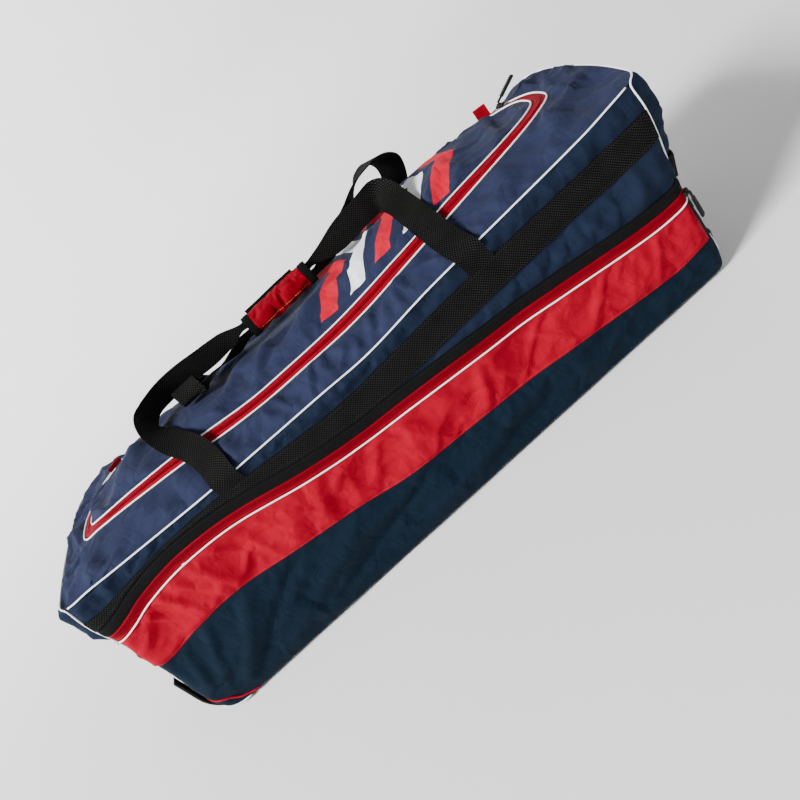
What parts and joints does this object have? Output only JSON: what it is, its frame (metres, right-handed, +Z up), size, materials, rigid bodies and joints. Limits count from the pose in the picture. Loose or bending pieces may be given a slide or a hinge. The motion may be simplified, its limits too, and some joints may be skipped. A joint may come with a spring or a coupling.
{
  "type": "wheeled kit bag",
  "caption": "Long wheeled kit bag with a zipped lid, a wrap-round side zip, webbing carry handles in a wrapped grip, white piping and a moulded wheel guard.",
  "frame": {"origin": "on the floor under the middle of the base", "axes": "+X along the bag from the wheel end to the pull end, -Y the side with the pictured face, +Z up"},
  "size_m": [1.0105, 0.3449, 0.39],
  "materials": {
    "navy_cloth": "woven polyester, slightly crumpled",
    "red_cloth": "woven polyester, slightly crumpled",
    "zip_tape": "woven tape with a nylon coil",
    "black_webbing": "coarse woven webbing",
    "white_piping": "smooth covered cord",
    "black_plastic": "moulded, satin",
    "tyre_rubber": "matt",
    "axle_steel": "plain turned"
  },
  "bodies": {
    "bag": {"axle_back": "axle_steel", "axle_front": "axle_steel", "base_panel": "navy_cloth", "corner_trim_back": "red_cloth", "corner_trim_front": "red_cloth", "grab_loop": "black_webbing", "grip_band_left": "black_webbing", "grip_band_right": "black_webbing", "grip_flap": "black_webbing", "grip_wrap": "red_cloth", "guard_piping_back": "white_piping", "guard_piping_front": "white_piping", "handle_back": "black_webbing", "handle_front": "black_webbing", "lid_panel": "navy_cloth", "lid_piping_inner": "white_piping", "lid_piping_outer": "white_piping", "lid_puller": "black_plastic", "lid_slider": "black_plastic", "lid_tab_pull": "red_cloth", "lid_tab_wheel": "red_cloth", "lid_zip": "zip_tape", "lower_panel_back": "navy_cloth", "lower_panel_front": "navy_cloth", "pull_corner_piping_back": "white_piping", "pull_corner_piping_front": "white_piping", "pull_end_lower": "navy_cloth", "pull_end_piping": "white_piping", "pull_end_upper": "navy_cloth", "red_panel_back": "red_cloth", "red_panel_front": "red_cloth", "side_puller_end": "black_plastic", "side_puller_front": "black_plastic", "side_slider_end": "black_plastic", "side_slider_front": "black_plastic", "side_strap_back": "black_webbing", "side_strap_front": "black_webbing", "side_zip_back": "zip_tape", "side_zip_end": "zip_tape", "side_zip_front": "zip_tape", "side_zip_tab": "red_cloth", "top_panel": "navy_cloth", "top_piping_back": "white_piping", "top_piping_front": "white_piping", "upper_panel_back": "navy_cloth", "upper_panel_front": "navy_cloth", "wheel_end_panel": "navy_cloth", "wheel_end_piping": "white_piping", "wheel_guard": "black_plastic", "zip_binding_back": "black_webbing", "zip_binding_end": "black_webbing", "zip_binding_front": "black_webbing", "zip_piping_back": "white_piping", "zip_piping_front": "white_piping"},
    "front_wheel": {"wheel_front": "tyre_rubber"},
    "back_wheel": {"wheel_back": "tyre_rubber"}
  },
  "joints": [
    {"name": "front_wheel_spin", "type": "hinge", "parent": "bag", "child": "front_wheel", "pos_m": [-0.448, -0.116, 0.038], "axis": [0, 1, 0], "continuous": true},
    {"name": "back_wheel_spin", "type": "hinge", "parent": "bag", "child": "back_wheel", "pos_m": [-0.448, 0.116, 0.038], "axis": [0, 1, 0], "continuous": true}
  ]
}
